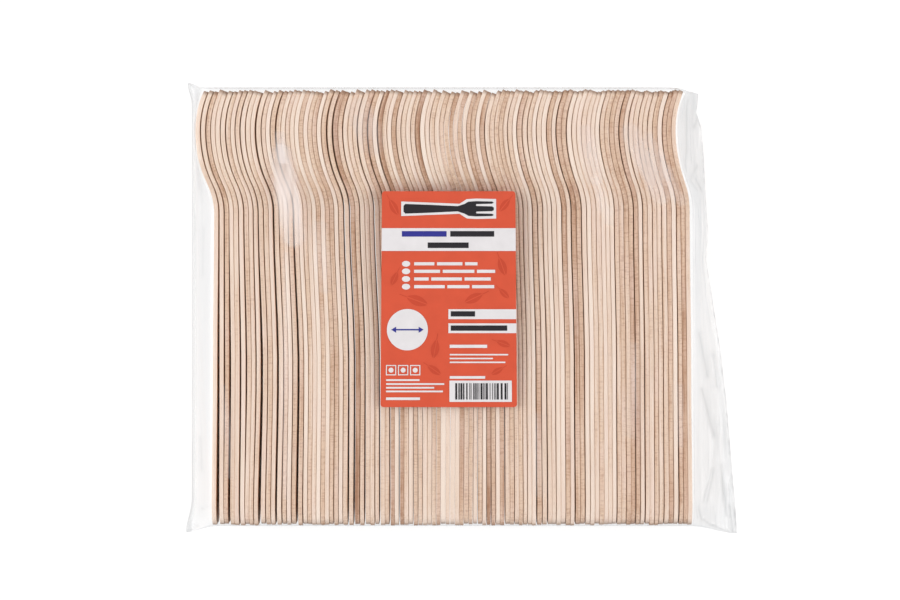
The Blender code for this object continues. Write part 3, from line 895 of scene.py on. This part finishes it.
def make_label(film):
    """The paper and its inks, one piece for each colour."""
    heights = FilmHeights(film)
    width, length = LABEL_WIDTH * 1000, LABEL_LENGTH * 1000
    paper = [box_outline((0, 0, width, length), LABEL_CORNER * 1000)]
    make_print("label_paper", paper, 0, heights, label_paper_material("label_orange", LABEL_ORANGE))

    leaves = [part for leaf in LEAVES for part in leaf_outlines(*leaf)]
    make_print("label_leaves", leaves, 1, heights, label_paper_material("label_leaf", LEAF_ORANGE))

    white = [box_outline(box) for box in WHITE_FIELDS + WHITE_BARS]
    white += [oval_outline(u, v, *OVAL_HALF) for u, v in OVALS]
    white.append(oval_outline(DISC[0], DISC[1], DISC[2], DISC[2], 64))
    white += [part for left in BADGES for part in frame_outlines(left, BADGE_TOP, BADGE_SIDE, BADGE_LINE)]
    half_side = BADGE_SIDE / 2
    for left in BADGES:
        white.append(oval_outline(left + half_side, BADGE_TOP + half_side, BADGE_DOT, BADGE_DOT, 20))
    white.append(fork_sign(*FORK_SIGN, FORK_SIGN_RIM))
    make_print("label_white", white, 2, heights, label_paper_material("label_white", LABEL_WHITE))

    black = [box_outline(box) for box in BLACK_BARS] + code_outlines()
    black.append(fork_sign(*FORK_SIGN, 0.0))
    make_print("label_black", black, 3, heights, label_paper_material("label_black", LABEL_BLACK))

    blue = [box_outline(box) for box in BLUE_BARS] + arrow_outlines(DISC[0], DISC[1], ARROW_LENGTH)
    make_print("label_blue", blue, 3, heights, label_paper_material("label_blue", LABEL_BLUE))


# Shader helpers


class Shader:
    """A material's node tree with short ways to add nodes and join them."""

    def __init__(self, name):
        self.material = bpy.data.materials.new(name)
        self.material.use_nodes = True
        self.tree = self.material.node_tree
        self.tree.nodes.clear()
        self.output = self.tree.nodes.new("ShaderNodeOutputMaterial")

    def add(self, kind, inputs=None, **settings):
        node = self.tree.nodes.new(kind)
        for name, value in settings.items():
            setattr(node, name, value)
        for name, value in (inputs or {}).items():
            self.feed(node.inputs[name], value)
        return node

    def feed(self, socket, value):
        if isinstance(value, bpy.types.NodeSocket):
            self.tree.links.new(value, socket)
        else:
            socket.default_value = value

    def attribute(self, name, output="Vector"):
        return self.add("ShaderNodeAttribute", attribute_name=name).outputs[output]

    def stretched(self, vector, scale):
        node = self.add("ShaderNodeVectorMath", {0: vector, 1: scale}, operation="MULTIPLY")
        return node.outputs["Vector"]

    def noise(self, vector, scale, detail=2.0, roughness=0.5):
        inputs = {"Vector": vector, "Scale": scale, "Detail": detail, "Roughness": roughness}
        return self.add("ShaderNodeTexNoise", inputs).outputs["Fac"]

    def ramp(self, value, low, high, to_low=0.0, to_high=1.0):
        inputs = {"Value": value, "From Min": low, "From Max": high, "To Min": to_low, "To Max": to_high}
        return self.add("ShaderNodeMapRange", inputs).outputs["Result"]

    def math(self, operation, first, second=0.0):
        return self.add("ShaderNodeMath", {0: first, 1: second}, operation=operation).outputs["Value"]

    def mix(self, factor, first, second, blend="MIX"):
        node = self.add("ShaderNodeMix", data_type="RGBA", blend_type=blend)
        self.feed(node.inputs["Factor"], factor)
        self.feed(node.inputs[6], first)
        self.feed(node.inputs[7], second)
        return node.outputs[2]

    def bump(self, height, distance, strength=1.0):
        inputs = {"Height": height, "Distance": distance, "Strength": strength}
        return self.add("ShaderNodeBump", inputs).outputs["Normal"]

    def finish(self, shader):
        self.tree.links.new(shader, self.output.inputs["Surface"])
        return self.material


def birch_material():
    """Rotary-cut birch: fibres along the blank, fine marks across it and slow changes of tone, with painted
    brownish shade on the broad faces and darker end grain with painted shade at the ends.
    """
    s = Shader("birch_veneer")
    blank = s.attribute("blank")
    tone = s.attribute("tone", "Fac")
    fibres = s.noise(s.stretched(blank, (26, 2100, 2100)), 1.0, 3.0, 0.6)
    plies = s.noise(s.stretched(blank, (9, 1300, 300)), 1.0, 1.0)
    drift = s.noise(s.stretched(blank, (16, 40, 60)), 1.0, 2.0)
    marks = s.noise(s.stretched(blank, (1900, 380, 220)), 1.0, 1.0, 0.5)
    patches = s.noise(s.stretched(blank, (45, 90, 120)), 1.0, 1.0)

    level = s.math("ADD", tone, s.ramp(drift, 0.3, 0.7, -0.17, 0.17))
    level = s.math("ADD", level, s.ramp(fibres, 0.3, 0.7, -0.14, 0.14))
    level = s.math("ADD", level, s.ramp(plies, 0.35, 0.65, -0.08, 0.08))
    colours = s.add("ShaderNodeValToRGB", {"Fac": level})
    stops = colours.color_ramp.elements
    stops[0].position, stops[0].color = 0.0, linear(245, 227, 212)
    stops[1].position, stops[1].color = 1.0, linear(168, 126, 100)
    for position, colour in ((0.30, (237, 214, 196)), (0.55, (226, 197, 173)), (0.78, (205, 169, 144))):
        stop = stops.new(position)
        stop.color = linear(*colour)
    pink = s.mix(s.ramp(patches, 0.45, 0.7, 0.0, 0.24), colours.outputs["Color"], linear(238, 212, 203))
    ticks = s.math("MULTIPLY", s.ramp(marks, 0.50, 0.66, 0.0, 0.34), s.ramp(level, 0.30, 0.60, 0.08, 1.0))
    marked = s.mix(ticks, pink, linear(160, 110, 82))
    # Painted shade: the broad faces, seen only down in the gaps between forks, turn a darker brown
    gap_shade = s.mix(s.attribute("broad_face", "Fac"), (1.0, 1.0, 1.0, 1.0), (0.98, 0.86, 0.73, 1.0))
    marked = s.mix(1.0, marked, gap_shade, "MULTIPLY")
    # Darker end grain and painted shade at both ends of each fork, in a brown
    ends = s.math("MULTIPLY", s.attribute("end_grain_and_shade", "Fac"), 0.80)
    marked = s.mix(ends, marked, linear(126, 92, 68))
    bump = s.bump(s.math("ADD", fibres, marks), 0.00004, 0.6)
    shader = s.add("ShaderNodeBsdfPrincipled", {"Base Color": marked, "Normal": bump, "Roughness": 0.62})
    shader.inputs["Specular IOR Level"].default_value = 0.25
    return s.finish(shader.outputs["BSDF"])


def film_material():
    """Clear film: it lets light through, greys seen edge on, carries painted shade in creases and along its
    rims and painted reflections in milky patches, and mirrors the lamps.
    """
    s = Shader("clear_film")
    slack = s.attribute("slack", "Fac")
    crease_shade = s.attribute("crease_shade", "Fac")
    painted_reflection = s.attribute("painted_reflection", "Fac")
    place = s.add("ShaderNodeTexCoord").outputs["Object"]
    streaks = s.noise(s.stretched(place, (420, 32, 32)), 1.0, 3.0, 0.6)
    blotches = s.noise(s.stretched(place, (150, 45, 60)), 1.0, 2.0, 0.5)
    wrinkles = s.math("ADD", streaks, s.math("MULTIPLY", blotches, 0.6))
    strength = s.ramp(slack, 0.0, 0.6, 0.10, 1.0)
    height = s.math("MULTIPLY", wrinkles, strength)
    normal = s.bump(height, 0.0006, 1.0)

    facing = s.add("ShaderNodeLayerWeight", {"Blend": 0.5, "Normal": normal}).outputs["Facing"]
    grazing = s.math("POWER", facing, 2.5)
    edge_on = s.math("POWER", facing, 5.0)
    cloudy = s.math("MULTIPLY", slack, s.ramp(wrinkles, 0.55, 1.05, 0.25, 1.0))
    tint = s.mix(cloudy, (0.992, 0.992, 0.993, 1.0), (0.860, 0.863, 0.868, 1.0))
    # Painted shade: the film greys along creases and rims, standing in for light bent in the folds
    tint = s.mix(s.math("MULTIPLY", crease_shade, 0.45), tint, (0.55, 0.56, 0.57, 1.0))
    tint = s.mix(grazing, tint, (0.80, 0.81, 0.82, 1.0))
    clear = s.add("ShaderNodeBsdfTransparent", {"Color": tint})
    # Painted reflection: a pinkish white diffuse that shows the softboxes in the milky patches
    white = s.add("ShaderNodeBsdfDiffuse", {"Color": (0.93, 0.86, 0.84, 1.0)})
    milky = s.math("MULTIPLY", painted_reflection, s.ramp(streaks, 0.3, 0.6, 0.55, 1.0))
    body = s.add("ShaderNodeMixShader", {0: milky, 1: clear.outputs["BSDF"], 2: white.outputs["BSDF"]})
    gloss_inputs = {"Color": (1.0, 1.0, 1.0, 1.0), "Roughness": 0.14, "Normal": normal}
    gloss = s.add("ShaderNodeBsdfAnisotropic", gloss_inputs)
    shine = s.ramp(edge_on, 0.0, 1.0, 0.025, 0.60)
    film = s.add("ShaderNodeMixShader", {0: shine, 1: body.outputs["Shader"], 2: gloss.outputs["BSDF"]})
    return s.finish(film.outputs["Shader"])


def label_paper_material(name, colour):
    """Printed paper with a slight sheen and a faint cloudiness in the ink."""
    s = Shader(name)
    place = s.add("ShaderNodeTexCoord").outputs["Object"]
    cloud = s.noise(place, 180.0, 3.0)
    darker = tuple(c * 0.93 for c in colour[:3]) + (1.0,)
    ink = s.mix(s.ramp(cloud, 0.3, 0.7), darker, colour)
    fibre = s.noise(place, 2600.0, 2.0)
    paper = s.add("ShaderNodeBsdfPrincipled", {"Base Color": ink, "Roughness": 0.42})
    s.feed(paper.inputs["Normal"], s.bump(fibre, 0.00001, 0.5))
    return s.finish(paper.outputs["BSDF"])


# Stage: floor, world, lamps and camera

FLOOR_SIZE = 12.0
FLOOR_DROP = 0.0004
PHOTO_WIDTH = 900
MM_PER_PIXEL = 0.3784
PHOTO_CENTRE = (-0.0008, 0.0028)
TOP_HEIGHT = 0.027
LENS = 120.0
SENSOR = 36.0


def make_floor():
    """A white sweep: bright where it is seen, and a plain white floor to all other rays."""
    bpy.ops.mesh.primitive_plane_add(size=FLOOR_SIZE, location=(0, 0, -FLOOR_DROP))
    floor = bpy.context.object
    floor.name = "floor"
    s = Shader("white_sweep")
    path = s.add("ShaderNodeLightPath")
    seen = s.math("MAXIMUM", path.outputs["Is Camera Ray"], path.outputs["Is Glossy Ray"])
    seen = s.math("MAXIMUM", seen, path.outputs["Is Transmission Ray"])
    tone = s.ramp(seen, 0.0, 1.0, 0.88, 0.24)
    grey = s.add("ShaderNodeCombineColor", {"Red": tone, "Green": tone, "Blue": tone})
    diffuse = s.add("ShaderNodeBsdfDiffuse", {"Color": grey.outputs["Color"]})
    glow = s.add("ShaderNodeEmission", {"Strength": s.math("MULTIPLY", seen, 0.83)})
    both = s.add("ShaderNodeAddShader", {0: diffuse.outputs["BSDF"], 1: glow.outputs["Emission"]})
    floor.data.materials.append(s.finish(both.outputs["Shader"]))


def make_world():
    """A pale room that is bright round the sides and dimmer overhead."""
    world = bpy.data.worlds.new("studio")
    bpy.context.scene.world = world
    world.use_nodes = True
    tree = world.node_tree
    background = tree.nodes["Background"]
    direction = tree.nodes.new("ShaderNodeTexCoord")
    split = tree.nodes.new("ShaderNodeSeparateXYZ")
    height = tree.nodes.new("ShaderNodeMapRange")
    height.inputs["From Min"].default_value = 0.50
    height.inputs["From Max"].default_value = 0.96
    height.inputs["To Min"].default_value = 1.05
    height.inputs["To Max"].default_value = 0.04
    tree.links.new(direction.outputs["Generated"], split.inputs["Vector"])
    tree.links.new(split.outputs["Z"], height.inputs["Value"])
    tree.links.new(height.outputs["Result"], background.inputs["Strength"])
    background.inputs["Color"].default_value = (1.0, 1.0, 1.0, 1.0)


def make_lamp(name, place, size, power):
    """A soft box that faces the middle of the pack."""
    light = bpy.data.lights.new(name, "AREA")
    light.shape = "RECTANGLE"
    light.size, light.size_y = size
    light.energy = power
    lamp = linked(name, light)
    lamp.location = place
    lamp.rotation_euler = (Vector((0, 0, 0.02)) - Vector(place)).to_track_quat("-Z", "Y").to_euler()


def make_camera():
    """Straight above the pack, at the distance where its top fills the frame as in the photograph."""
    camera = bpy.data.cameras.new("camera")
    camera.lens = LENS
    camera.sensor_width = SENSOR
    shot = linked("camera", camera)
    distance = PHOTO_WIDTH * MM_PER_PIXEL / 1000 * LENS / SENSOR
    shot.location = (*PHOTO_CENTRE, TOP_HEIGHT + distance)
    bpy.context.scene.camera = shot


make_camera()
make_forks(birch_material())
make_label(make_film(film_material()))
make_floor()
make_world()
make_lamp("softbox_left", (-1.1, 0.08, 1.05), (0.9, 1.3), 10.9)
make_lamp("softbox_right", (1.1, 0.08, 1.05), (0.9, 1.3), 9.4)
bpy.context.scene.view_settings.view_transform = "Standard"
